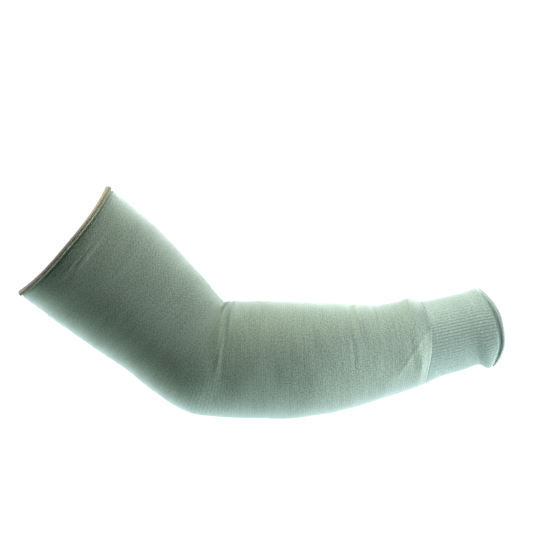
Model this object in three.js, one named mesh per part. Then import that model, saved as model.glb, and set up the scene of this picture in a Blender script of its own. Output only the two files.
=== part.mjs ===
// Cut resistant knit sleeve for one arm, bent a little at the elbow, as it is worn.
// Millimetres. X runs toward the hand, Z is up and Y is across the arm, which bends in the plane Y = 0.
// The origin is the middle of the arm at the elbow. The arm itself is left out, so the sleeve is hollow.
import * as THREE from 'three';

// Driving dimensions: lengths run along the middle of the arm, from the bend of the elbow
const UPPER_LENGTH = 165;
const FOREARM_LENGTH = 191;
const CUFF_LENGTH = 59;

// How the arm is held, in degrees from level: the upper arm falls to the elbow, the wrist rises
const UPPER_FALL = 40;
const WRIST_RISE = 12;

// Outside widths in the plane of the bend, and outside depths across it
const UPPER_WIDTH = 120;
const UPPER_DEPTH = 104;
const ELBOW_WIDTH = 103;
const ELBOW_DEPTH = 93;
const FOREARM_WIDTH = 104;
const FOREARM_DEPTH = 92;
const WRIST_WIDTH = 78;
const WRIST_DEPTH = 64;
const CUFF_WIDTH = 67;
const CUFF_DEPTH = 54;

// Thickness of the knit, and the clearance left between one piece and the next
const BODY_WALL = 1.5;
const CUFF_WALL = 2.2;
const CLEARANCE = 0.3;

// Overlocked elastic edge, folded over the raw edge of the upper opening
const EDGE_WIDTH = 3.4;
const EDGE_LEAF = 0.9;

// Rib knit of the cuff: spacing round the wrist, and how deep the furrows are
const RIB_PITCH = 2.7;
const RIB_DEPTH = 0.7;

// Rolled welt at the end of the cuff, and the furrow in front of it
const WELT_THICKNESS = 3;
const FURROW_WIDTH = 2.6;
const FURROW_DEPTH = 0.9;

// How far the sleeve's forearm stands out over the narrower cuff where they are knitted together
const LEDGE = 0.9;

// How far each edge bows toward the hand at its two sides, how much more at the near side than at the
// far one, and how far it leans toward the hand at its inner side
const OPENING_BOW = 5.8;
const OPENING_TURN = 1;
const JOINT_BOW = 6.5;
const JOINT_TURN = 1.2;
const JOINT_LEAN = 5.7;
const CUFF_END_BOW = 10.3;
const CUFF_END_TURN = 2.5;
const CUFF_END_LEAN = 0.4;

// How many flat faces go round the plain knit and the welt, and round the welt's own section
const FACES_ROUND = 36;
const FACES_ROUND_WELT = 48;
const FACES_OF_WELT = 8;

// The bend takes up more of the sleeve as it gets wider or sharper, so that its inner side only gathers
const BEND_EASE = 0.447;
const ELBOW_REACH = BEND_EASE * THREE.MathUtils.degToRad(UPPER_FALL) * ELBOW_WIDTH;

// Where the wrist starts and stops rising, as shares of the forearm
const RISE_STARTS = 0.1;
const RISE_ENDS = 0.95;

// How squarely the two open edges bow: 2 is an even curve, more is straighter along the sides. The cuff's
// end is squarer at the outer side of the bend than at the inner one
const OPENING_SQUARENESS = 3;
const CUFF_END_SQUARENESS_INNER = 2.1;
const CUFF_END_SQUARENESS_OUTER = 3.6;

// A fold's share of its height at the inner side, where the knit is pulled tight, and, as shares of its
// run round the arm, where it reaches its full height and where it starts to fade
const FOLD_AT_INNER_SIDE = 0.6;
const FOLD_GROWN = 0.25;
const FOLD_FADES = 0.45;

// The furrow before the welt is pulled tight, which leaves this share of the ribs' depth
const FURROW_RIBS = 0.4;

// Steps of the sums along the middle line, in millimetres, and round a section
const MIDDLE_STEP = 2;
const ROUND_SAMPLES = 720;

const TOTAL_LENGTH = FOREARM_LENGTH + CUFF_LENGTH;

// Sections of the sleeve: where they are, as shares of a stretch of the arm, with the widths from its
// middle line to the inner and the outer side of the bend and the whole depth, as shares of the
// named width and depth that they follow
const upper = { start: 0, length: UPPER_LENGTH, width: UPPER_WIDTH, depth: UPPER_DEPTH };
const elbow = { start: 0, length: ELBOW_REACH, width: ELBOW_WIDTH, depth: ELBOW_DEPTH };
const forearm = { start: 0, length: FOREARM_LENGTH, width: FOREARM_WIDTH, depth: FOREARM_DEPTH };
const wrist = { start: 0, length: FOREARM_LENGTH, width: WRIST_WIDTH, depth: WRIST_DEPTH };
const cuff = { start: FOREARM_LENGTH, length: CUFF_LENGTH, width: CUFF_WIDTH, depth: CUFF_DEPTH };

const SLEEVE_SECTIONS = [
  { of: upper, at: -1.03, inner: 0.51, outer: 0.488, deep: 0.985 },
  { of: upper, at: -0.94, inner: 0.52, outer: 0.496, deep: 1 },
  { of: upper, at: -0.73, inner: 0.523, outer: 0.478, deep: 0.99 },
  { of: upper, at: -0.49, inner: 0.496, outer: 0.45, deep: 0.955 },
  { of: upper, at: -0.29, inner: 0.456, outer: 0.42, deep: 0.92 },
  { of: elbow, at: -0.55, inner: 0.49, outer: 0.488, deep: 1.01 },
  { of: elbow, at: 0, inner: 0.5, outer: 0.502, deep: 1 },
  { of: elbow, at: 0.4, inner: 0.505, outer: 0.478, deep: 0.99 },
  { of: forearm, at: 0.17, inner: 0.512, outer: 0.477, deep: 1 },
  { of: forearm, at: 0.31, inner: 0.51, outer: 0.486, deep: 1 },
  { of: forearm, at: 0.47, inner: 0.484, outer: 0.48, deep: 0.97 },
  { of: forearm, at: 0.63, inner: 0.444, outer: 0.451, deep: 0.9 },
  { of: wrist, at: 0.73, inner: 0.538, outer: 0.562, deep: 1.19 },
  { of: wrist, at: 0.84, inner: 0.488, outer: 0.53, deep: 1.1 },
  { of: wrist, at: 0.92, inner: 0.491, outer: 0.507, deep: 1.05 },
  { of: wrist, at: 0.965, inner: 0.5, outer: 0.49, deep: 1.02 },
  { of: wrist, at: 1, inner: 0.47, outer: 0.475, deep: 0.98 },
  { of: wrist, at: 1.03, inner: 0.442, outer: 0.46, deep: 0.92 },
];

const CUFF_SECTIONS = [
  { of: cuff, at: -0.12, inner: 0.505, outer: 0.568, deep: 1.03 },
  { of: cuff, at: 0.05, inner: 0.503, outer: 0.533, deep: 1.01 },
  { of: cuff, at: 0.18, inner: 0.5, outer: 0.51, deep: 1 },
  { of: cuff, at: 0.53, inner: 0.501, outer: 0.487, deep: 0.98 },
  { of: cuff, at: 0.74, inner: 0.508, outer: 0.463, deep: 0.97 },
  { of: cuff, at: 0.85, inner: 0.52, outer: 0.532, deep: 1 },
  { of: cuff, at: 0.925, inner: 0.524, outer: 0.538, deep: 1.02 },
  { of: cuff, at: 1.01, inner: 0.495, outer: 0.508, deep: 1.03 },
  { of: cuff, at: 1.24, inner: 0.47, outer: 0.48, deep: 1 },
];

// Folds of the knit, ridges where height is above 0 and hollows below: where a fold crosses the inner
// side and how far it has leaned along the arm at its end, as shares of a stretch, the angles round the
// arm between which it runs, its height, its half width, and its share of that height on the far side
const FOLDS = [
  { of: elbow, at: -0.14, lean: 0, from: 0, to: 40, height: -0.9, width: 1.8, far: 0.8 },
  { of: elbow, at: 0.1, lean: 0.27, from: 0, to: 96, height: 1.5, width: 2, far: 0.8 },
  { of: elbow, at: 0.41, lean: 0.07, from: 0, to: 84, height: -1.2, width: 2, far: 1 },
  { of: elbow, at: 0.67, lean: 0, from: 0, to: 62, height: 1.1, width: 2.2, far: 0.9 },
  { of: elbow, at: -0.55, lean: -0.2, from: 30, to: 120, height: -0.7, width: 8, far: 1 },
  { of: upper, at: -0.9, lean: 0, from: 10, to: 130, height: 0.5, width: 4.5, far: 0.7 },
  { of: forearm, at: 0.67, lean: 0.02, from: 0, to: 92, height: -0.8, width: 4, far: 0.9 },
  { of: forearm, at: 0.71, lean: 0.01, from: 0, to: 80, height: 1.1, width: 4.5, far: 0.8 },
  { of: forearm, at: 0.785, lean: 0.05, from: 0, to: 60, height: -0.9, width: 4.5, far: 0.8 },
  { of: forearm, at: 1.02, lean: -0.14, from: 70, to: 140, height: 0.9, width: 3.5, far: 0.7 },
  { of: forearm, at: 0.97, lean: -0.12, from: 60, to: 130, height: -0.7, width: 3.5, far: 0.7 },
];

// Where the rounds of the body's mesh lie, closest together where the knit folds
const ROUNDS = [
  { of: upper, from: -0.93, to: -0.3, steps: 5 },
  { of: elbow, from: -1, to: -0.32, steps: 3 },
  { of: elbow, from: -0.12, to: 0.84, steps: 11 },
  { of: elbow, from: 1.1, to: 1.5, steps: 1 },
  { of: forearm, from: 0.33, to: 0.6, steps: 3 },
  { of: forearm, from: 0.64, to: 0.975, steps: 9 },
];

const radians = THREE.MathUtils.degToRad;
const smooth = THREE.MathUtils.smoothstep;

/** Returns the value of one column of a section table at a length along the arm, on a smooth curve. */
function readSections(rows, along, column) {
  const places = rows.map((row) => row.of.start + row.at * row.of.length);
  const sizes = rows.map((row) => row[column] * (column === 'deep' ? row.of.depth / 2 : row.of.width));
  const last = rows.length - 1;
  const slopes = sizes.map((size, i) => {
    const before = Math.max(i - 1, 0);
    const after = Math.min(i + 1, last);
    return (sizes[after] - sizes[before]) / (places[after] - places[before]);
  });
  let i = 0;
  while (i < last - 1 && along > places[i + 1]) {
    i += 1;
  }
  const span = places[i + 1] - places[i];
  const t = THREE.MathUtils.clamp((along - places[i]) / span, 0, 1);
  const t2 = t * t;
  const t3 = t2 * t;
  return (2 * t3 - 3 * t2 + 1) * sizes[i] + (t3 - 2 * t2 + t) * span * slopes[i]
    + (3 * t2 - 2 * t3) * sizes[i + 1] + (t3 - t2) * span * slopes[i + 1];
}

/** Returns the angle of the arm's middle line above level, in radians, at a length from the elbow. */
function slopeAt(along) {
  const fall = 1 - smooth(along, -ELBOW_REACH, ELBOW_REACH);
  const rise = smooth(along, RISE_STARTS * FOREARM_LENGTH, RISE_ENDS * FOREARM_LENGTH);
  return radians(WRIST_RISE) * rise - radians(UPPER_FALL) * fall;
}

/** Returns the point of the arm's middle line at a length from the elbow, summed in short steps. */
function middleAt(along) {
  const steps = Math.max(1, Math.ceil(Math.abs(along) / MIDDLE_STEP));
  const step = along / steps;
  const point = new THREE.Vector3();
  for (let i = 0; i < steps; i += 1) {
    const slope = slopeAt((i + 0.5) * step);
    point.x += Math.cos(slope) * step;
    point.z += Math.sin(slope) * step;
  }
  return point;
}

/** Returns how far a round of stitches lies along the arm from its own square section, at an angle. */
function bowAt(along, angle) {
  const near = Math.sin(angle);
  const inner = Math.cos(angle);
  const side = near ** 2;
  const squareness = inner > 0 ? CUFF_END_SQUARENESS_INNER : CUFF_END_SQUARENESS_OUTER;
  const openingSide = 1 - Math.abs(inner) ** OPENING_SQUARENESS;
  const cuffEndSide = 1 - Math.abs(inner) ** squareness;
  const opening = OPENING_BOW * openingSide + OPENING_TURN * near;
  const joint = JOINT_BOW * side + JOINT_TURN * near + JOINT_LEAN * inner;
  const cuffEnd = CUFF_END_BOW * cuffEndSide + CUFF_END_TURN * near + CUFF_END_LEAN * inner;
  const nearOpening = 1 - smooth(along, -UPPER_LENGTH, -UPPER_LENGTH / 3);
  const nearJoint = smooth(along, FOREARM_LENGTH / 2, FOREARM_LENGTH);
  const overCuff = THREE.MathUtils.clamp((along - FOREARM_LENGTH) / CUFF_LENGTH, 0, 1);
  return opening * nearOpening + THREE.MathUtils.lerp(joint * nearJoint, cuffEnd, overCuff);
}

/** Returns how much the bend stretches the knit at a place and angle, or gathers it, below 1. */
function stretchAt(sections, along, angle) {
  const turnPerLength = (slopeAt(along + MIDDLE_STEP) - slopeAt(along - MIDDLE_STEP)) / (2 * MIDDLE_STEP);
  return 1 - turnPerLength * Math.cos(angle) * readSections(sections, along, 'inner');
}

/** Returns how far the folds lift the knit at a length along the arm and an angle round it. */
function foldAt(sections, along, angle) {
  const turn = THREE.MathUtils.radToDeg(Math.acos(Math.cos(angle)));
  const isFar = Math.sin(angle) < 0;
  let lift = 0;
  for (const fold of FOLDS) {
    const run = (turn - fold.from) / (fold.to - fold.from);
    const place = fold.of.start + (fold.at + fold.lean * Math.max(run, 0)) * fold.of.length;
    const distance = (along - place) * stretchAt(sections, place, angle);
    const nearness = Math.exp(-((distance / fold.width) ** 2));
    const least = fold.from === 0 ? FOLD_AT_INNER_SIDE : 0;
    const growth = THREE.MathUtils.lerp(least, 1, smooth(run, 0, FOLD_GROWN));
    const strength = growth * (1 - smooth(run, FOLD_FADES, 1));
    lift += fold.height * nearness * strength * (isFar ? fold.far : 1);
  }
  return lift;
}

/** Returns a point of the knit: its angle starts at the inner side and turns over the near side. */
function knitPoint(sections, along, angle, inset) {
  const place = along + bowAt(along, angle);
  const slope = slopeAt(place);
  const height = Math.cos(angle);
  const lift = foldAt(sections, place, angle) - inset;
  const width = readSections(sections, place, height > 0 ? 'inner' : 'outer') + lift;
  const depth = readSections(sections, place, 'deep') + lift;
  const point = middleAt(place);
  point.x -= Math.sin(slope) * width * height;
  point.z += Math.cos(slope) * width * height;
  point.y -= depth * Math.sin(angle);
  return point;
}

/** Returns angles round the arm that are the same length apart on the knit's outside. */
function evenAngles(sections, along, count) {
  const lengths = [0];
  let before = knitPoint(sections, along, 0, 0);
  for (let i = 1; i <= ROUND_SAMPLES; i += 1) {
    const point = knitPoint(sections, along, (i / ROUND_SAMPLES) * 2 * Math.PI, 0);
    lengths.push(lengths[i - 1] + point.distanceTo(before));
    before = point;
  }
  const angles = [];
  let i = 0;
  for (let k = 0; k < count; k += 1) {
    const wanted = (k / count) * lengths[ROUND_SAMPLES];
    while (lengths[i + 1] < wanted) {
      i += 1;
    }
    const part = (wanted - lengths[i]) / (lengths[i + 1] - lengths[i]);
    angles.push(((i + part) / ROUND_SAMPLES) * 2 * Math.PI);
  }
  return angles;
}

/** Returns lengths along the arm from one place to another, in equal steps, both ends included. */
function placesBetween(from, to, steps) {
  return Array.from({ length: steps + 1 }, (unused, i) => from + ((to - from) * i) / steps);
}

/** Returns a closed mesh of a profile taken round the arm: its points run outside, then back inside. */
function roundTheArm(name, sections, profile, angles, material, reliefAt = () => 0) {
  const count = angles.length;
  const positions = [];
  for (const { along, inset, relief = 0 } of profile) {
    angles.forEach((angle, j) => {
      const point = knitPoint(sections, along, angle, inset + relief * reliefAt(j));
      positions.push(point.x, point.y, point.z);
    });
  }
  const faces = [];
  for (let i = 0; i < profile.length; i += 1) {
    const here = i * count;
    const next = ((i + 1) % profile.length) * count;
    for (let j = 0; j < count; j += 1) {
      const beside = (j + 1) % count;
      faces.push(here + j, here + beside, next + beside, here + j, next + beside, next + j);
    }
  }
  const geometry = new THREE.BufferGeometry();
  geometry.setAttribute('position', new THREE.Float32BufferAttribute(positions, 3));
  geometry.setIndex(faces);
  geometry.computeVertexNormals();
  const mesh = new THREE.Mesh(geometry, material);
  mesh.name = name;
  return mesh;
}

const knitCloth = new THREE.MeshStandardMaterial({ color: '#8ba38f', roughness: 0.95, metalness: 0 });
const ribCloth = new THREE.MeshStandardMaterial({ color: '#9db8a8', roughness: 0.95, metalness: 0 });
const edgeThread = new THREE.MeshStandardMaterial({ color: '#a9ad94', roughness: 0.85, metalness: 0 });
const weltCloth = new THREE.MeshStandardMaterial({ color: '#b4cdc3', roughness: 0.95, metalness: 0 });

const plainAngles = evenAngles(SLEEVE_SECTIONS, 0, FACES_ROUND);

/** The seamless plain-knit tube from the upper opening to the cuff, with its folds at the elbow. */
function makeSleeveBody() {
  const openingEdge = -UPPER_LENGTH + EDGE_LEAF + CLEARANCE;
  const joint = FOREARM_LENGTH - CLEARANCE / 2;
  const rounds = ROUNDS.flatMap(({ of, from, to, steps }) => (
    placesBetween(of.start + from * of.length, of.start + to * of.length, steps)));
  const places = [openingEdge, ...rounds, joint - LEDGE].sort((a, b) => a - b);
  const outside = places.map((along) => ({ along, inset: 0 }));
  const inside = places.map((along) => ({ along, inset: BODY_WALL })).reverse();
  const ledge = [
    { along: joint, inset: LEDGE },
    { along: joint, inset: LEDGE + BODY_WALL },
  ];
  const profile = [...outside, ...ledge, ...inside];
  return roundTheArm('sleeve_body', SLEEVE_SECTIONS, profile, plainAngles, knitCloth);
}

/** The overlocked elastic edge: two leaves of thread over the raw edge, joined round its end. */
function makeTopEdge() {
  const end = -UPPER_LENGTH;
  const rawEdge = end + EDGE_LEAF;
  const back = end + EDGE_WIDTH;
  const rounding = EDGE_LEAF / 2;
  const slotOut = -CLEARANCE;
  const slotIn = BODY_WALL + CLEARANCE;
  const profile = [
    { along: end, inset: slotOut },
    { along: end + rounding, inset: slotOut - EDGE_LEAF },
    { along: back - rounding, inset: slotOut - EDGE_LEAF },
    { along: back, inset: slotOut },
    { along: rawEdge, inset: slotOut },
    { along: rawEdge, inset: slotIn },
    { along: back, inset: slotIn },
    { along: back - rounding, inset: slotIn + EDGE_LEAF },
    { along: end + rounding, inset: slotIn + EDGE_LEAF },
    { along: end, inset: slotIn },
  ];
  return roundTheArm('top_edge', SLEEVE_SECTIONS, profile, plainAngles, edgeThread);
}

/** How many ribs fit round the cuff at their own spacing. */
function ribCount() {
  const halfWidth = CUFF_WIDTH / 2;
  const halfDepth = CUFF_DEPTH / 2;
  const round = Math.PI * Math.sqrt(2 * (halfWidth ** 2 + halfDepth ** 2));
  return Math.round(round / RIB_PITCH);
}

/** The rib-knit cuff, with a crest and a furrow for each rib outside and a plain inside. */
function makeWristCuff() {
  const start = FOREARM_LENGTH + CLEARANCE / 2;
  const end = TOTAL_LENGTH - WELT_THICKNESS - CLEARANCE;
  const furrow = end - FURROW_WIDTH;
  const furrowRibs = RIB_DEPTH * FURROW_RIBS;
  const outside = placesBetween(start, furrow, 4).map((along) => ({ along, inset: 0, relief: RIB_DEPTH }));
  const inside = placesBetween(start, end, 3).map((along) => ({ along, inset: CUFF_WALL })).reverse();
  const profile = [
    ...outside,
    { along: furrow + FURROW_DEPTH, inset: FURROW_DEPTH, relief: furrowRibs },
    { along: end, inset: FURROW_DEPTH, relief: furrowRibs },
    ...inside,
  ];
  const angles = evenAngles(CUFF_SECTIONS, FOREARM_LENGTH + CUFF_LENGTH / 2, ribCount() * 2);
  const isFurrow = (step) => step % 2;
  return roundTheArm('wrist_cuff', CUFF_SECTIONS, profile, angles, ribCloth, isFurrow);
}

/** The rolled welt that ends the cuff, a soft ring as thick as the knit rolled once over itself. */
function makeCuffWelt() {
  const radius = WELT_THICKNESS / 2;
  const profile = Array.from({ length: FACES_OF_WELT }, (unused, i) => {
    const turn = ((i + 0.5) / FACES_OF_WELT) * 2 * Math.PI;
    return {
      along: TOTAL_LENGTH - radius - radius * Math.cos(turn),
      inset: CUFF_WALL / 2 - radius * Math.sin(turn),
    };
  });
  const angles = evenAngles(CUFF_SECTIONS, TOTAL_LENGTH, FACES_ROUND_WELT);
  return roundTheArm('cuff_welt', CUFF_SECTIONS, profile, angles, weltCloth);
}

const sleeve = new THREE.Group();
sleeve.add(makeTopEdge(), makeSleeveBody(), makeWristCuff(), makeCuffWelt());

export default sleeve;
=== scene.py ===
"""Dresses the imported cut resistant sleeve: knitted tube, rib cuff, rolled welt and overlocked top edge.

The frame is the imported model's: +X runs toward the hand, +Z is up and the side that is seen is at -Y.
The form of the arm is worked out in millimetres and degrees, and every mesh is made in metres.
"""

from __future__ import annotations

import logging
import math
from dataclasses import dataclass, field
from enum import Enum
from typing import Any, Sequence

import bpy
import numpy as np
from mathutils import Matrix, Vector

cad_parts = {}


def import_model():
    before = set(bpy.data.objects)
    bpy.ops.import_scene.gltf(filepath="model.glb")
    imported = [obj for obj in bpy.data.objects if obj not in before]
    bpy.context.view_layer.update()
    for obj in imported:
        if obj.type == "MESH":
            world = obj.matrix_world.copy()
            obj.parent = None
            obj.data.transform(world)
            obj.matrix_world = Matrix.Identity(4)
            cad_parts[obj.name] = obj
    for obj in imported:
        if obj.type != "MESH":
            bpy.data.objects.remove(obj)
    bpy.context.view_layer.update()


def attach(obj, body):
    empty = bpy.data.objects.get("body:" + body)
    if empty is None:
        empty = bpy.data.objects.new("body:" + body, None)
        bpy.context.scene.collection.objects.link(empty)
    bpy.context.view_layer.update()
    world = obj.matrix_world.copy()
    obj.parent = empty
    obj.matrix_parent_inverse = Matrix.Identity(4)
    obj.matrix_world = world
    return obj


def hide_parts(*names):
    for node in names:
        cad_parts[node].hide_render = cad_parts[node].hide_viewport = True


LOG = logging.getLogger("sleeve")

MM = 0.001
SENSOR_MM = 36.0

# Blender's names of the nodes that are used most
MATH = "ShaderNodeMath"
MIX = "ShaderNodeMix"
NOISE = "ShaderNodeTexNoise"
ATTRIBUTE = "ShaderNodeAttribute"
NAMED_ATTRIBUTE = "GeometryNodeInputNamedAttribute"
# The two colour inputs of a Mix node, which share their names with its other inputs
MIX_A, MIX_B = 6, 7
COLOUR_MIX = {"data_type": "RGBA", "clamp_factor": True}
# About how far apart a Wave node's bands lie at a scale of 1
WAVE_BAND = 0.3

Array = np.ndarray


class Stretch(Enum):
    """The stretches of the arm that the sections and folds are measured along."""

    UPPER = "upper"
    ELBOW = "elbow"
    FOREARM = "forearm"
    WRIST = "wrist"
    CUFF = "cuff"


class Column(Enum):
    """What a section gives: its reach to the inner and the outer side of the bend, and its depth."""

    INNER = "inner"
    OUTER = "outer"
    DEEP = "deep"


@dataclass(frozen=True)
class Section:
    """One section of the sleeve: its place and reaches, as shares of the stretch's own sizes."""

    of: Stretch
    at: float
    inner: float
    outer: float
    deep: float


@dataclass(frozen=True)
class Fold:
    """One fold of the knit: a ridge where its height is above 0 and a hollow below.

    It crosses the inner side at one place, runs between two angles from there, in degrees, and leans along
    the arm. The far side of the arm has it at a share of its height.
    """

    of: Stretch
    at: float
    lean: float
    start: float
    end: float
    height: float
    width: float
    far: float


@dataclass(frozen=True)
class Wave:
    """One soft wave of the knit: its count round the arm, phase, height and length along the arm.

    A wave without end stays level along the arm.
    """

    count: int
    phase: float
    height: float
    length: float = math.inf


@dataclass(frozen=True)
class Ring:
    """One round of a piece's mesh: its place along the arm and how far it lies under the knit's face.

    The relief is its share of the surface's unevenness, and the drop its share of the step to the cuff.
    """

    along: float
    inset: float = 0.0
    relief: float = 0.0
    drop: float = 0.0


SLEEVE_SECTIONS = (
    Section(Stretch.UPPER, at=-1.03, inner=0.51, outer=0.488, deep=0.985),
    Section(Stretch.UPPER, at=-0.94, inner=0.52, outer=0.496, deep=1.0),
    Section(Stretch.UPPER, at=-0.73, inner=0.523, outer=0.478, deep=0.99),
    Section(Stretch.UPPER, at=-0.49, inner=0.496, outer=0.45, deep=0.955),
    Section(Stretch.UPPER, at=-0.29, inner=0.456, outer=0.42, deep=0.92),
    Section(Stretch.ELBOW, at=-0.55, inner=0.49, outer=0.488, deep=1.01),
    Section(Stretch.ELBOW, at=0.0, inner=0.5, outer=0.502, deep=1.0),
    Section(Stretch.ELBOW, at=0.4, inner=0.505, outer=0.478, deep=0.99),
    Section(Stretch.FOREARM, at=0.17, inner=0.512, outer=0.477, deep=1.0),
    Section(Stretch.FOREARM, at=0.31, inner=0.51, outer=0.486, deep=1.0),
    Section(Stretch.FOREARM, at=0.47, inner=0.484, outer=0.48, deep=0.97),
    Section(Stretch.FOREARM, at=0.63, inner=0.444, outer=0.451, deep=0.9),
    Section(Stretch.WRIST, at=0.73, inner=0.538, outer=0.562, deep=1.19),
    Section(Stretch.WRIST, at=0.84, inner=0.488, outer=0.53, deep=1.1),
    Section(Stretch.WRIST, at=0.92, inner=0.491, outer=0.507, deep=1.05),
    Section(Stretch.WRIST, at=0.965, inner=0.5, outer=0.49, deep=1.02),
    Section(Stretch.WRIST, at=1.0, inner=0.47, outer=0.475, deep=0.98),
    Section(Stretch.WRIST, at=1.03, inner=0.442, outer=0.46, deep=0.92),
)

CUFF_SECTIONS = (
    Section(Stretch.CUFF, at=-0.12, inner=0.505, outer=0.568, deep=1.03),
    Section(Stretch.CUFF, at=0.05, inner=0.503, outer=0.533, deep=1.01),
    Section(Stretch.CUFF, at=0.18, inner=0.5, outer=0.51, deep=1.0),
    Section(Stretch.CUFF, at=0.53, inner=0.501, outer=0.487, deep=0.98),
    Section(Stretch.CUFF, at=0.74, inner=0.508, outer=0.463, deep=0.97),
    Section(Stretch.CUFF, at=0.85, inner=0.52, outer=0.532, deep=1.0),
    Section(Stretch.CUFF, at=0.925, inner=0.524, outer=0.538, deep=1.02),
    Section(Stretch.CUFF, at=1.01, inner=0.495, outer=0.508, deep=1.03),
    Section(Stretch.CUFF, at=1.24, inner=0.47, outer=0.48, deep=1.0),
)

# Gathers at the elbow, creases by the edge, slanting gathers before the cuff and the ridge at the tube's end
SLEEVE_FOLDS = (
    Fold(Stretch.ELBOW, at=-0.14, lean=0.0, start=0, end=48, height=-0.9, width=1.8, far=0.8),
    Fold(Stretch.ELBOW, at=0.09, lean=0.26, start=0, end=116, height=1.5, width=2.1, far=0.8),
    Fold(Stretch.ELBOW, at=0.41, lean=0.07, start=0, end=92, height=-0.35, width=2.2, far=1.0),
    Fold(Stretch.ELBOW, at=0.67, lean=0.0, start=0, end=70, height=1.1, width=2.2, far=0.9),
    Fold(Stretch.ELBOW, at=-0.55, lean=-0.2, start=30, end=120, height=-0.6, width=8.0, far=1.0),
    Fold(Stretch.UPPER, at=-0.84, lean=0.01, start=66, end=112, height=0.65, width=1.4, far=0.7),
    Fold(Stretch.UPPER, at=-0.87, lean=0.01, start=70, end=116, height=0.6, width=1.4, far=0.7),
    Fold(Stretch.FOREARM, at=0.7, lean=-0.03, start=0, end=112, height=-0.8, width=2.2, far=0.9),
    Fold(Stretch.FOREARM, at=0.723, lean=-0.03, start=0, end=112, height=0.8, width=2.4, far=0.8),
    Fold(Stretch.FOREARM, at=0.79, lean=0.05, start=0, end=104, height=-0.6, width=2.2, far=0.8),
    Fold(Stretch.FOREARM, at=0.86, lean=0.02, start=0, end=70, height=0.7, width=3.0, far=0.9),
    Fold(Stretch.FOREARM, at=1.075, lean=-0.26, start=66, end=140, height=0.5, width=2.8, far=0.7),
    Fold(Stretch.FOREARM, at=1.05, lean=-0.26, start=66, end=138, height=-0.36, width=2.2, far=0.8),
    Fold(Stretch.FOREARM, at=1.025, lean=-0.24, start=70, end=140, height=0.44, width=2.2, far=0.8),
    Fold(Stretch.FOREARM, at=1.0, lean=-0.22, start=70, end=136, height=-0.36, width=2.2, far=0.7),
    Fold(Stretch.FOREARM, at=0.975, lean=-0.18, start=74, end=134, height=0.3, width=2.4, far=0.7),
    Fold(Stretch.FOREARM, at=0.93, lean=0.02, start=0, end=76, height=-0.45, width=2.5, far=0.8),
    Fold(Stretch.FOREARM, at=0.938, lean=0.0, start=40, end=170, height=-0.35, width=2.6, far=0.8),
    Fold(Stretch.FOREARM, at=0.972, lean=0.0, start=10, end=175, height=0.4, width=2.8, far=0.8),
)


# The slack of a tube pulled over an arm, then the faint rings of its tighter courses
SLACK_WAVES = (
    Wave(count=2, phase=0.4, height=0.16, length=61.0),
    Wave(count=-3, phase=2.1, height=0.14, length=47.0),
    Wave(count=5, phase=4.0, height=0.1, length=33.0),
    Wave(count=-7, phase=1.3, height=0.07, length=23.0),
)
COURSE_WAVES = (
    Wave(count=4, phase=0.0, height=0.012, length=5.3),
    Wave(count=-5, phase=2.6, height=0.015, length=7.9),
    Wave(count=3, phase=5.1, height=0.02, length=11.7),
)
# The uneven pull of the elastic round the upper opening
EDGE_WAVES = (
    Wave(count=7, phase=0.3, height=0.07),
    Wave(count=13, phase=1.9, height=0.05),
    Wave(count=29, phase=4.2, height=0.04),
)


def smooth(value: Array, low: float, high: float) -> Array:
    """Returns 0 below one value, 1 above another, and a smooth step between them."""
    share = np.clip((value - low) / (high - low), 0.0, 1.0)
    return share * share * (3.0 - 2.0 * share)


def turn_from_inner(angle: Array) -> Array:
    """Returns how far angles lie from the inner side of the arm, from 0 to 180 degrees."""
    return np.degrees(np.arccos(np.clip(np.cos(angle), -1.0, 1.0)))


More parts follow.
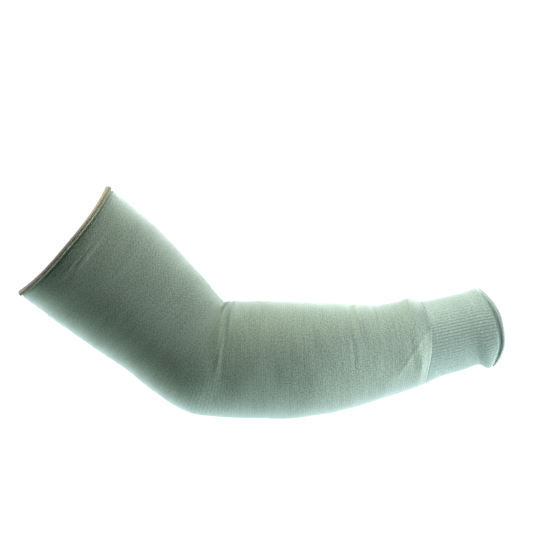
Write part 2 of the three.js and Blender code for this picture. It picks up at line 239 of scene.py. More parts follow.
@dataclass
class ArmForm:
    """The form that the sleeve takes on an arm: a bent middle line with sections round it."""

    upper_length: float = 165.0
    forearm_length: float = 191.0
    cuff_length: float = 59.0
    upper_fall: float = 40.0
    wrist_rise: float = 12.0
    upper_width: float = 120.0
    upper_depth: float = 104.0
    elbow_width: float = 103.0
    elbow_depth: float = 93.0
    forearm_width: float = 104.0
    forearm_depth: float = 92.0
    wrist_width: float = 78.0
    wrist_depth: float = 64.0
    cuff_width: float = 67.0
    cuff_depth: float = 54.0
    opening_bow: float = 5.8
    opening_turn: float = 1.0
    joint_bow: float = 6.5
    joint_turn: float = 1.2
    joint_lean: float = 5.7
    cuff_end_bow: float = 10.3
    cuff_end_turn: float = 2.5
    cuff_end_lean: float = 0.4
    bend_ease: float = 0.447
    rise_starts: float = 0.1
    rise_ends: float = 0.95
    opening_squareness: float = 3.0
    cuff_end_squareness_inner: float = 2.1
    cuff_end_squareness_outer: float = 3.6
    fold_at_inner_side: float = 0.6
    fold_grown: float = 0.25
    fold_fades: float = 0.6
    step: float = 0.5
    round_samples: int = 1440
    _places: Array = field(init=False, repr=False)
    _middle: Array = field(init=False, repr=False)

    def __post_init__(self) -> None:
        """Sums the middle line in short steps both ways from the elbow."""
        reach = self.upper_length + self.total_length
        count = int(reach / self.step)
        ends = np.arange(-count, count + 1) * self.step
        slopes = self.slope((ends[:-1] + ends[1:]) / 2)
        moves = np.stack([np.cos(slopes), np.zeros_like(slopes), np.sin(slopes)], axis=1) * self.step
        line = np.concatenate([np.zeros((1, 3)), np.cumsum(moves, axis=0)])
        self._places = ends
        self._middle = line - line[count]

    @property
    def total_length(self) -> float:
        """The length from the elbow to the end of the cuff."""
        return self.forearm_length + self.cuff_length

    @property
    def elbow_reach(self) -> float:
        """How far to each side of the elbow the bend takes up."""
        return self.bend_ease * math.radians(self.upper_fall) * self.elbow_width

    def stretch(self, of: Stretch) -> tuple[float, float, float, float]:
        """Looks up the sizes that belong to a stretch.

        Args:
            of: The stretch.

        Returns:
            Its start and length along the arm, then the width and the depth named for it.
        """
        return {
            Stretch.UPPER: (0.0, self.upper_length, self.upper_width, self.upper_depth),
            Stretch.ELBOW: (0.0, self.elbow_reach, self.elbow_width, self.elbow_depth),
            Stretch.FOREARM: (0.0, self.forearm_length, self.forearm_width, self.forearm_depth),
            Stretch.WRIST: (0.0, self.forearm_length, self.wrist_width, self.wrist_depth),
            Stretch.CUFF: (self.forearm_length, self.cuff_length, self.cuff_width, self.cuff_depth),
        }[of]

    def read(self, sections: Sequence[Section], along: Array, column: Column) -> Array:
        """Reads one column of a section table on a smooth curve.

        Args:
            sections: The table, in order along the arm.
            along: Lengths along the arm.
            column: Which reach is wanted.

        Returns:
            The reach at each length, in millimetres.
        """
        places = []
        sizes = []
        for row in sections:
            start, length, width, depth = self.stretch(row.of)
            places.append(start + row.at * length)
            sizes.append(getattr(row, column.value) * (depth / 2 if column is Column.DEEP else width))
        places, sizes = np.array(places), np.array(sizes)
        last = len(places) - 1
        before = np.maximum(np.arange(last + 1) - 1, 0)
        after = np.minimum(np.arange(last + 1) + 1, last)
        slopes = (sizes[after] - sizes[before]) / (places[after] - places[before])
        i = np.clip(np.searchsorted(places, along, side="left") - 1, 0, last - 1)
        span = places[i + 1] - places[i]
        t = np.clip((along - places[i]) / span, 0.0, 1.0)
        t2 = t * t
        t3 = t2 * t
        return (
            (2 * t3 - 3 * t2 + 1) * sizes[i]
            + (t3 - 2 * t2 + t) * span * slopes[i]
            + (3 * t2 - 2 * t3) * sizes[i + 1]
            + (t3 - t2) * span * slopes[i + 1]
        )

    def slope(self, along: Array) -> Array:
        """Works out how steep the middle line is.

        Args:
            along: Lengths along the arm.

        Returns:
            Its angle above level at each length, in radians.
        """
        fall = 1 - smooth(along, -self.elbow_reach, self.elbow_reach)
        rise = smooth(along, self.rise_starts * self.forearm_length, self.rise_ends * self.forearm_length)
        return math.radians(self.wrist_rise) * rise - math.radians(self.upper_fall) * fall

    def middle(self, along: Array) -> Array:
        """Returns points of the middle line, with x, y and z on the last axis."""
        return np.stack([np.interp(along, self._places, self._middle[:, k]) for k in range(3)], axis=-1)

    def bow(self, along: Array, angle: Array) -> Array:
        """Works out how far a round of stitches lies along the arm from its own square section.

        Args:
            along: Lengths along the arm.
            angle: Angles round it.

        Returns:
            The distance at each point, in millimetres, above 0 toward the hand.
        """
        near = np.sin(angle)
        inner = np.cos(angle)
        side = near**2
        squareness = np.where(inner > 0, self.cuff_end_squareness_inner, self.cuff_end_squareness_outer)
        opening_side = 1 - np.abs(inner) ** self.opening_squareness
        cuff_end_side = 1 - np.abs(inner) ** squareness
        opening = self.opening_bow * opening_side + self.opening_turn * near
        joint = self.joint_bow * side + self.joint_turn * near + self.joint_lean * inner
        cuff_end = self.cuff_end_bow * cuff_end_side + self.cuff_end_turn * near + self.cuff_end_lean * inner
        near_opening = 1 - smooth(along, -self.upper_length, -self.upper_length / 3)
        near_joint = smooth(along, self.forearm_length / 2, self.forearm_length)
        over_cuff = np.clip((along - self.forearm_length) / self.cuff_length, 0.0, 1.0)
        toward_hand = joint * near_joint
        return opening * near_opening + toward_hand + (cuff_end - toward_hand) * over_cuff

    def gather(self, sections: Sequence[Section], along: float, angle: Array) -> Array:
        """Works out how much the bend stretches or gathers the knit at a place.

        Args:
            sections: The table of sections.
            along: The place's length along the arm.
            angle: Angles round it.

        Returns:
            The stretch at each angle, below 1 where the knit is gathered.
        """
        reach = 2.0
        turn = float(self.slope(np.array(along + reach)) - self.slope(np.array(along - reach))) / (2 * reach)
        return 1 - turn * np.cos(angle) * self.read(sections, np.array(along), Column.INNER)

    def fold_lift(
        self, sections: Sequence[Section], folds: Sequence[Fold], along: Array, angle: Array
    ) -> Array:
        """Returns how far the folds lift the knit.

        Args:
            sections: The table of sections that the folds lie on.
            folds: The folds.
            along: Lengths along the arm.
            angle: Angles round it, as many as there are lengths.

        Returns:
            The lift at each point, in millimetres.
        """
        turn = turn_from_inner(angle)
        is_far = np.sin(angle) < 0
        lift = np.zeros_like(along)
        for fold in folds:
            start, length, _, _ = self.stretch(fold.of)
            run = (turn - fold.start) / (fold.end - fold.start)
            place = start + (fold.at + fold.lean * np.maximum(run, 0.0)) * length
            middle_place = start + fold.at * length
            distance = (along - place) * self.gather(sections, middle_place, angle)
            nearness = np.exp(-((distance / fold.width) ** 2))
            least = self.fold_at_inner_side if fold.start == 0 else 0.0
            growth = least + (1 - least) * smooth(run, 0.0, self.fold_grown)
            strength = growth * (1 - smooth(run, self.fold_fades, 1.0))
            lift += fold.height * nearness * strength * np.where(is_far, fold.far, 1.0)
        return lift

    def points(
        self,
        sections: Sequence[Section],
        folds: Sequence[Fold],
        along: Array,
        angle: Array,
        lift: Array | float = 0.0,
    ) -> Array:
        """Returns points of the knit's face, lifted off it or sunk under it.

        Args:
            sections: The table of sections.
            folds: The folds that lift the knit.
            along: Lengths along the arm.
            angle: Angles that start at the inner side and turn over the near side.
            lift: How far each point stands off the face, in millimetres.

        Returns:
            The points, in millimetres, with x, y and z on the last axis.
        """
        along, angle = np.broadcast_arrays(along, angle)
        place = along + self.bow(along, angle)
        slope = self.slope(place)
        height = np.cos(angle)
        off = self.fold_lift(sections, folds, place, angle) + lift
        inner = self.read(sections, place, Column.INNER)
        outer = self.read(sections, place, Column.OUTER)
        width = np.where(height > 0, inner, outer) + off
        depth = self.read(sections, place, Column.DEEP) + off
        result = self.middle(place)
        result[..., 0] -= np.sin(slope) * width * height
        result[..., 2] += np.cos(slope) * width * height
        result[..., 1] -= depth * np.sin(angle)
        return result

    def measure_round(self, sections: Sequence[Section], along: float) -> tuple[Array, Array]:
        """Measures the way round the knit's face at one place.

        Args:
            sections: The table of sections.
            along: The place's length along the arm.

        Returns:
            Angles from 0 to a full turn, and the length of the way to each, in millimetres.
        """
        steps = np.linspace(0.0, 2 * math.pi, self.round_samples + 1)
        line = self.points(sections, (), np.full_like(steps, along), steps)
        return steps, np.concatenate([[0.0], np.cumsum(np.linalg.norm(np.diff(line, axis=0), axis=1))])

    def even_angles(self, sections: Sequence[Section], along: float, count: int) -> Array:
        """Returns angles that are the same length apart on the knit's face at one place."""
        steps, lengths = self.measure_round(sections, along)
        return np.interp(np.arange(count) / count * lengths[-1], lengths, steps)

    def girth(self, sections: Sequence[Section], along: float) -> float:
        """Returns the length round the knit's face at one place."""
        return float(self.measure_round(sections, along)[1][-1])


def wander(along: Array, angle: Array, waves: Sequence[Wave]) -> Array:
    """Returns a soft uneven lift, the same on every run, that closes round the arm.

    Args:
        along: Lengths along the arm, in millimetres.
        angle: Angles round it.
        waves: The waves that are added up.

    Returns:
        The summed height at each point, in millimetres.
    """
    total = np.zeros(np.broadcast_shapes(along.shape, angle.shape))
    for wave in waves:
        turn = 2 * math.pi * along / wave.length + wave.count * angle + wave.phase
        total = total + wave.height * np.sin(turn)
    return total


def shell_mesh(name: str, rounds: Array, girth: float, lengths: Array) -> bpy.types.Mesh:
    """Makes a closed ring-shaped shell from its rounds, with a UV map that follows the knit.

    Args:
        name: The mesh's name.
        rounds: Points in millimetres, by round and then by place in the round; the last meets the first.
        girth: The length round the knit that the map is as wide as, in millimetres.
        lengths: The length along the knit at each round and at the one that closes it, in millimetres.

    Returns:
        The mesh, in metres, smooth shaded.
    """
    count, around = rounds.shape[:2]
    i, j = np.meshgrid(np.arange(count), np.arange(around), indexing="ij")
    nxt, beside = (i + 1) % count, (j + 1) % around
    faces = np.stack([i * around + j, i * around + beside, nxt * around + beside, nxt * around + j], axis=-1)
    faces = faces.reshape(-1, 4)
    mesh = bpy.data.meshes.new(name)
    mesh.vertices.add(count * around)
    mesh.vertices.foreach_set("co", (rounds.reshape(-1, 3) * MM).astype(np.float32).ravel())
    mesh.loops.add(faces.size)
    mesh.loops.foreach_set("vertex_index", faces.astype(np.int32).ravel())
    mesh.polygons.add(len(faces))
    mesh.polygons.foreach_set("loop_start", np.arange(0, faces.size, 4, dtype=np.int32))
    across = np.stack([j, j + 1, j + 1, j], axis=-1) / around * girth
    here, there = lengths[:-1][i], lengths[1:][i]
    down = np.stack([here, here, there, there], axis=-1)
    uv = np.stack([across, down], axis=-1).reshape(-1, 2) * MM
    layer = mesh.uv_layers.new(name="Knit")
    layer.data.foreach_set("uv", uv.astype(np.float32).ravel())
    mesh.update(calc_edges=True)
    mesh.validate()
    mesh.polygons.foreach_set("use_smooth", np.ones(len(mesh.polygons), dtype=bool))
    return mesh


def ring_columns(rings: Sequence[Ring]) -> tuple[Array, ...]:
    """Returns the rounds' places, insets, reliefs and drops, each as an upright column."""
    table = np.array([(ring.along, ring.inset, ring.relief, ring.drop) for ring in rings])
    return tuple(table[:, [k]] for k in range(4))


def mark_points(mesh: bpy.types.Mesh, name: str, values: Array) -> None:
    """Stores a number for each point of a mesh, under a name that its finish or its tree reads."""
    layer = mesh.attributes.new(name, "FLOAT", "POINT")
    layer.data.foreach_set("value", values.astype(np.float32).ravel())


def place_piece(
    name: str, mesh: bpy.types.Mesh, material: bpy.types.Material, node: str
) -> bpy.types.Object:
    """Adds a finished piece to the scene in place of a CAD node.

    Args:
        name: The piece's name.
        mesh: Its mesh, in place.
        material: Its finish.
        node: The CAD node that it stands for.

    Returns:
        The piece's object.
    """
    piece = bpy.data.objects.new(name, mesh)
    bpy.context.scene.collection.objects.link(piece)
    mesh.materials.clear()
    mesh.materials.append(material)
    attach(piece, "root")
    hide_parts(node)
    LOG.info("%s: %d faces", name, len(mesh.polygons))
    return piece


def linear(colour: str) -> tuple[float, float, float, float]:
    """Turns an sRGB hex colour into linear red, green, blue and alpha."""
    parts = [int(colour.lstrip("#")[k : k + 2], 16) / 255 for k in (0, 2, 4)]
    return tuple(c / 12.92 if c <= 0.04045 else ((c + 0.055) / 1.055) ** 2.4 for c in parts) + (1.0,)


def add_node(
    tree: bpy.types.NodeTree, kind: str, inputs: Sequence[Any] | dict[str | int, Any] = (), **settings: Any
) -> bpy.types.Node:
    """Adds one node to a tree.

    Args:
        tree: The tree.
        kind: The node's Blender type.
        inputs: Values for its inputs, in order, or by name or index. An output socket is linked instead,
            and so is a node, by the first of its outputs that is in use.
        settings: Properties to set on the node.

    Returns:
        The node.
    """
    node = tree.nodes.new(kind)
    for key, value in settings.items():
        setattr(node, key, value)
    for key, value in (inputs if isinstance(inputs, dict) else dict(enumerate(inputs))).items():
        if isinstance(value, bpy.types.Node):
            value = next(socket for socket in value.outputs if socket.enabled)
        if isinstance(value, bpy.types.NodeSocket):
            tree.links.new(value, node.inputs[key])
        else:
            node.inputs[key].default_value = value
    return node


def geometry_tree(name: str, inputs: dict[str, str]) -> tuple[bpy.types.NodeTree, bpy.types.Node]:
    """Starts a geometry node tree with named inputs.

    Args:
        name: The tree's name.
        inputs: The socket type of each input, by name; the geometry comes first by itself.

    Returns:
        The tree and its group input node.
    """
    tree = bpy.data.node_groups.new(name, "GeometryNodeTree")
    tree.interface.new_socket("Geometry", in_out="INPUT", socket_type="NodeSocketGeometry")
    for title, kind in inputs.items():
        tree.interface.new_socket(title, in_out="INPUT", socket_type=kind)
    tree.interface.new_socket("Geometry", in_out="OUTPUT", socket_type="NodeSocketGeometry")
    return tree, tree.nodes.new("NodeGroupInput")


def finish_tree(tree: bpy.types.NodeTree, source: bpy.types.Node, geometry: bpy.types.Node) -> None:
    """Ends a geometry node tree: its instances are made real and its faces get their finish.

    Args:
        tree: The tree.
        source: Its group input node, which gives the finish as Material.
        geometry: The node that gives the geometry.
    """
    real = add_node(tree, "GeometryNodeRealizeInstances", (geometry,))
    dressed = add_node(tree, "GeometryNodeSetMaterial", {
        "Geometry": real, "Material": source.outputs["Material"]})
    add_node(tree, "NodeGroupOutput", (dressed,))


def run_tree(mesh: bpy.types.Mesh, tree: bpy.types.NodeTree, values: dict[str, Any]) -> bpy.types.Mesh:
    """Runs a geometry node tree on a mesh.

    Args:
        mesh: The mesh that the tree starts from.
        tree: The tree.
        values: Its inputs, by name.

    Returns:
        A plain mesh of the result.
    """
    carrier = bpy.data.objects.new(mesh.name + "_maker", mesh)
    bpy.context.scene.collection.objects.link(carrier)
    modifier = carrier.modifiers.new("Maker", "NODES")
    modifier.node_group = tree
    for item in tree.interface.items_tree:
        if item.in_out == "INPUT" and item.name in values:
            modifier[item.identifier] = values[item.name]
    carrier.update_tag()
    depsgraph = bpy.context.evaluated_depsgraph_get()
    made = bpy.data.meshes.new_from_object(carrier.evaluated_get(depsgraph), depsgraph=depsgraph)
    bpy.data.objects.remove(carrier)
    return made


def start_material(name: str) -> tuple[bpy.types.Material, bpy.types.NodeTree]:
    """Starts a material.

    Args:
        name: The material's name.

    Returns:
        The material and its empty tree.
    """
    material = bpy.data.materials.new(name)
    material.use_nodes = True
    material.node_tree.nodes.clear()
    return material, material.node_tree


def finish_material(tree: bpy.types.NodeTree, sockets: dict[str, Any]) -> None:
    """Ends a material's tree with its shader, whose even values are set on the shader's own sockets."""
    shader = add_node(tree, "ShaderNodeBsdfPrincipled", sockets)
    add_node(tree, "ShaderNodeOutputMaterial", {"Surface": shader})


def layer_tones(tree: bpy.types.NodeTree, layers: Sequence[tuple[Any, float, float]]) -> bpy.types.Node:
    """Adds up patterns into one tone round 0.5, which mixes a yarn's dark and light shade.

    Args:
        tree: The material's tree.
        layers: For each pattern its node or socket, its middle value and its strength.

    Returns:
        The node that gives the tone.
    """
    tone = 0.5
    for pattern, middle, strength in layers:
        swing = add_node(tree, MATH, (pattern, middle), operation="SUBTRACT")
        tone = add_node(tree, MATH, (swing, strength, tone), operation="MULTIPLY_ADD")
    return tone


@dataclass(frozen=True)
class EdgeShades:
    """The overlocked edge's colours: dark painted shade along the fold, lilac beside it, cream at its top.

    A mesh carries its place across the band as the share of the band's width that lies between it and the
    fold, below 0 on the inner side. The cream comes in between two heights.
    """

    # Painted shade: the dark brown along the fold stands for the shaded inner side of the far rim
    fold: str
    beside_fold: str
    crest: str
    fold_shade_from: float = 0.02
    fold_shade_to: float = 0.16
    beside_from: float = 0.35
    beside_to: float = 0.7
    crest_from_mm: float = 96.0
    crest_to_mm: float = 132.0
    crest_share: float = 0.8

    def mix(self, tree: bpy.types.NodeTree, colour: bpy.types.Node) -> bpy.types.Node:
        """Mixes the edge's shades into a yarn's colour.

        Args:
            tree: The material's tree.
            colour: The node that gives the yarn's colour on the body side.

        Returns:
            The node that gives the mixed colour.
        """
        across = add_node(tree, ATTRIBUTE, attribute_name="across_band").outputs["Fac"]
        from_fold = add_node(tree, MATH, (across,), operation="ABSOLUTE")
        for place, low, high, shade in (
            (across, self.beside_from, self.beside_to, self.beside_fold),
            (from_fold, self.fold_shade_from, self.fold_shade_to, self.fold),
        ):
            share = add_node(tree, "ShaderNodeMapRange", {"Value": place, "From Min": low, "From Max": high},
                             interpolation_type="SMOOTHSTEP")
            colour = add_node(tree, MIX, {"Factor": share, MIX_A: linear(shade), MIX_B: colour}, **COLOUR_MIX)
        point = add_node(tree, "ShaderNodeTexCoord").outputs["Object"]
        height = add_node(tree, "ShaderNodeSeparateXYZ", (point,)).outputs["Z"]
        crest = add_node(tree, "ShaderNodeMapRange", {
            "Value": height, "From Min": self.crest_from_mm * MM, "From Max": self.crest_to_mm * MM,
            "To Max": self.crest_share}, interpolation_type="SMOOTHSTEP")
        return add_node(tree, MIX, {"Factor": crest, MIX_A: colour, MIX_B: linear(self.crest)}, **COLOUR_MIX)


@dataclass(frozen=True)
class KnitFinish:
    """Weft-knitted cut resistant yarn: spun polyethylene and glass fibre, undyed grey with green fleck.

    It was machine knitted, so it gives the eye fine wales along the arm, a heathered grain where light
    and dark fibres were spun together, faint rings where a course is tighter, and a soft matt fuzz.
    Shade is painted into the gaps between its stitches, and the fuzz's glow at the rim is a painted sheen:
    the colour turns pale where the face turns away from the view.
    Courses and single fibres are too fine to show, so both are drawn as coarse as they need to be.
    """

    name: str
    light_yarn: str
    dark_yarn: str
    wale_mm: float
    course_mm: float
    chevron: float
    stitch_depth_mm: float
    fleck_strength: float
    # How strongly shade is painted into the gaps between stitches
    gap_shade_strength: float
    streak_strength: float
    sheen: float
    sheen_tint: str
    tint_yarn: str = "#9d9a8e"
    tint_strength: float = 1.3
    tint_middle: float = 0.45
    tint_patch_mm: float = 1.82
    fleck_mm: float = 1.4
    waver_every_mm: float = 6.0
    waver_mm: float = 0.6
    wale_height: float = 0.35
    row_height: float = 0.2
    fleck_height: float = 0.8
    streaks_per_m: tuple[float, float, float] = (26.0, 330.0, 1.0)
    cloud_mm: float = 34.0
    cloud_strength: float = 0.35
    roughness: float = 0.92
    # How strongly shade is painted into the rib furrows and the groove by the welt
    furrow_shade_strength: float = 0.0
    edge: EdgeShades | None = None
    # How much the painted sheen pales the colour at the rim, and how narrow that pale rim is
    painted_rim_sheen: float = 1.0
    painted_rim_sheen_narrowness: float = 2.5

    def make(self) -> bpy.types.Material:
        """Makes the material.

        Returns:
            The material, with its whole tree.
        """
        material, tree = start_material(self.name)
        flat = {"noise_dimensions": "2D"}
        knit = add_node(tree, "ShaderNodeUVMap", uv_map="Knit")
        uneven = add_node(tree, NOISE, {
            "Vector": knit, "Scale": 1 / (self.waver_every_mm * MM), "Detail": 1.0}, **flat)
        waver = (self.waver_mm * MM, self.waver_mm * MM, 0.0)
        shift = add_node(tree, "ShaderNodeVectorMath", (uneven.outputs["Color"], waver, knit),
                         operation="MULTIPLY_ADD")
        split = add_node(tree, "ShaderNodeSeparateXYZ", (shift,))
        wale = add_node(tree, MATH, (split.outputs["X"], self.wale_mm * MM), operation="DIVIDE")
        course = add_node(tree, MATH, (split.outputs["Y"], self.course_mm * MM), operation="DIVIDE")
        across = add_node(tree, MATH, (wale, 0.5), operation="PINGPONG")
        slanted = add_node(tree, MATH, (across, self.chevron, course), operation="MULTIPLY_ADD")
        waves = []
        for place in (slanted, across):
            turn = add_node(tree, MATH, (place, 2 * math.pi), operation="MULTIPLY")
            waves.append(add_node(tree, MATH, (turn,), operation="SINE"))
        row, crown = waves
        rib = add_node(tree, MATH, (crown, self.wale_height, self.wale_height), operation="MULTIPLY_ADD")
        stitch = add_node(tree, MATH, (row, self.row_height, rib), operation="MULTIPLY_ADD")
        fleck = add_node(tree, NOISE, {
            "Vector": knit, "Scale": 1 / (self.fleck_mm * MM), "Detail": 2.0, "Roughness": 0.6}, **flat)
        streak_place = add_node(tree, "ShaderNodeMapping", {"Vector": knit, "Scale": self.streaks_per_m})
        streak = add_node(tree, NOISE, {"Vector": streak_place, "Scale": 1.0, "Detail": 2.0}, **flat)
        cloud = add_node(tree, NOISE, {
            "Vector": knit, "Scale": 1 / (self.cloud_mm * MM), "Detail": 1.0}, **flat)
        tone = layer_tones(tree, (
            (fleck, 0.5, self.fleck_strength),
            # Painted shade: darker in the gaps between stitches, where the stitch relief is low
            (stitch, self.wale_height, self.gap_shade_strength),
            (streak, 0.5, self.streak_strength),
            (cloud, 0.5, self.cloud_strength),
        ))
        # Painted shade in the rib furrows and in the groove by the welt
        if self.furrow_shade_strength:
            tone = self.paint_furrow_shade(tree, tone, across)
        yarn = add_node(tree, MIX, {
            "Factor": tone, MIX_A: linear(self.dark_yarn), MIX_B: linear(self.light_yarn)}, **COLOUR_MIX)
        hue = add_node(tree, NOISE, {
            "Vector": shift, "Scale": 1 / (self.tint_patch_mm * MM), "Detail": 1.0}, **flat)
        swing = add_node(tree, MATH, (hue, self.tint_middle), operation="SUBTRACT")
        tint = add_node(tree, MATH, (swing, self.tint_strength), operation="MULTIPLY")
        yarn = add_node(tree, MIX, {"Factor": tint, MIX_A: yarn, MIX_B: linear(self.tint_yarn)}, **COLOUR_MIX)
        if self.edge:
            yarn = self.edge.mix(tree, yarn)
        # Painted sheen: the colour turns toward the pale sheen tint where the face turns away from the view
        facing = add_node(tree, "ShaderNodeLayerWeight", {"Blend": 0.5}).outputs["Facing"]
        rim = add_node(tree, MATH, (facing, self.painted_rim_sheen_narrowness), operation="POWER")
        painted_sheen_share = add_node(tree, MATH, (rim, self.painted_rim_sheen), operation="MULTIPLY")
        yarn_with_painted_sheen = add_node(tree, MIX, {
            "Factor": painted_sheen_share, MIX_A: yarn, MIX_B: linear(self.sheen_tint)}, **COLOUR_MIX)
        height = add_node(tree, MATH, (fleck, self.fleck_height, stitch), operation="MULTIPLY_ADD")
        bump = add_node(tree, "ShaderNodeBump", {
            "Height": height, "Strength": 0.8, "Distance": self.stitch_depth_mm * MM})
        finish_material(tree, {
            "Base Color": yarn_with_painted_sheen, "Normal": bump, "Roughness": self.roughness, "Specular IOR Level": 0.2,
            "Sheen Weight": self.sheen, "Sheen Roughness": 0.45, "Sheen Tint": linear(self.sheen_tint)})
        return material

    def paint_furrow_shade(
        self, tree: bpy.types.NodeTree, tone: bpy.types.Node, across: bpy.types.Node
    ) -> bpy.types.Node:
        """Paints shade into a rib knit's tone: darker between its ribs and in the groove by the welt.

        Args:
            tree: The material's tree.
            tone: The node that gives the tone.
            across: The node that gives the place across a rib, 0.5 between two ribs.

        Returns:
            The node that gives the darkened tone.
        """
        share, groove_shade = (
            add_node(tree, ATTRIBUTE, attribute_name=name).outputs["Fac"] for name in ("share", "groove_shade"))
        doubled = add_node(tree, MATH, (across, 2.0), operation="MULTIPLY")
        furrow = add_node(tree, MATH, (doubled, 2.0), operation="POWER")
        slack = add_node(tree, MATH, (furrow, share), operation="MULTIPLY")
        shaded = add_node(tree, MATH, (slack, groove_shade), operation="MAXIMUM")
        return add_node(tree, MATH, (shaded, -self.furrow_shade_strength, tone), operation="MULTIPLY_ADD")


@dataclass(frozen=True)
class ThreadFinish:
    """Spun polyester overlock thread, twisted from two plies and left matt by the spinning.

    It gives the eye a fine slanted twist along each stitch and an uneven shade, and its edge shades say
    where the lilac and cream threads of the edge come to the face; the dark brown along the fold is
    painted shade. The real twist is too fine to show, so it is drawn coarser.
    """

    name: str
    light: str
    dark: str
    edge: EdgeShades
    twist_mm: float = 0.6
    patch_mm: float = 9.0
    patch_strength: float = 2.2
    ply_strength: float = 0.3
    roughness: float = 0.8

    def make(self) -> bpy.types.Material:
        """Makes the material.

        Returns:
            The material, with its whole tree.
        """
        material, tree = start_material(self.name)
        place = add_node(tree, "ShaderNodeTexCoord").outputs["Object"]
        patch = add_node(tree, NOISE, {"Vector": place, "Scale": 1 / (self.patch_mm * MM), "Detail": 2.0})
        ply = add_node(tree, "ShaderNodeTexWave", {
            "Vector": place, "Scale": WAVE_BAND / (self.twist_mm * MM), "Distortion": 1.5},
            bands_direction="DIAGONAL").outputs["Fac"]
        tone = layer_tones(tree, ((patch, 0.5, self.patch_strength), (ply, 0.5, self.ply_strength)))
        yarn = add_node(tree, MIX, {
            "Factor": tone, MIX_A: linear(self.dark), MIX_B: linear(self.light)}, **COLOUR_MIX)
        bump = add_node(tree, "ShaderNodeBump", {"Height": ply, "Strength": 0.5, "Distance": 0.1 * MM})
        finish_material(tree, {
            "Base Color": self.edge.mix(tree, yarn), "Normal": bump, "Roughness": self.roughness,
            "Specular IOR Level": 0.3, "Sheen Weight": 0.1})
        return material


# The undyed yarn in plain knit: heathered grey-green, with fine wales and a painted sheen at its rim
PLAIN_KNIT = KnitFinish(
    name="Plain knit yarn", light_yarn="#b0c6ae", dark_yarn="#81977e", wale_mm=2.3, course_mm=2.0,
    chevron=1.0, stitch_depth_mm=0.35, fleck_strength=3.0, gap_shade_strength=0.5, streak_strength=0.6,
    sheen=1.0, sheen_tint="#e6f7f0")
# The same yarn in a rib: paler on its crowns, with painted shade between them and in the groove by the welt
RIB_KNIT = KnitFinish(
    name="Rib knit yarn", light_yarn="#c3d9c5", dark_yarn="#8ca592", wale_mm=2.7, course_mm=1.9,
    chevron=1.0, stitch_depth_mm=0.2, fleck_strength=1.8, gap_shade_strength=0.25, streak_strength=0.3,
    sheen=1.0, sheen_tint="#e8f8f3", furrow_shade_strength=0.75, painted_rim_sheen=0.8, tint_strength=0.8)
# The same yarn rolled on itself: the palest and most even of the knits
WELT_KNIT = KnitFinish(
    name="Rolled welt yarn", light_yarn="#c6d6cb", dark_yarn="#a2b5a9", wale_mm=2.7, course_mm=1.9,
    chevron=1.0, stitch_depth_mm=0.2, fleck_strength=1.2, gap_shade_strength=0.25, streak_strength=0.2,
    sheen=0.3, sheen_tint="#dcebe3", painted_rim_sheen=0.3)
# Covered rubber under dense stitching: darker, with hardly any painted sheen, and painted shade along its
# fold
BAND_KNIT = KnitFinish(
    name="Folded elastic edge", light_yarn="#9aa893", dark_yarn="#707c6c", wale_mm=1.7, course_mm=1.1,
    chevron=0.6, stitch_depth_mm=0.25, fleck_strength=1.6, gap_shade_strength=0.4, streak_strength=0.2,
    sheen=0.1, sheen_tint="#d3dccb", painted_rim_sheen=0.1,
    edge=EdgeShades(fold="#4a413b", beside_fold="#857b71", crest="#b9b498"))
# Spun polyester in the knit's own greens, which lets the edge's colours and its painted fold shade through
OVERLOCK_THREAD = ThreadFinish(
    name="Overlock thread", light="#b4c6ae", dark="#84947f",
    edge=EdgeShades(fold="#4f4640", beside_fold="#90867a", crest="#c9c4a8"))
# Dark spun polyester, thicker than such a thread is, so that its line shows at the fold. Its dark
# brown is partly painted shade: it stands for the shaded inner side of the far rim
LOCKING_THREAD_WITH_PAINTED_SHADE = ThreadFinish(
    name="Locking thread", light="#5d524b", dark="#3b332f",
    edge=EdgeShades(fold="#403833", beside_fold="#4a413b", crest="#8f8469"))


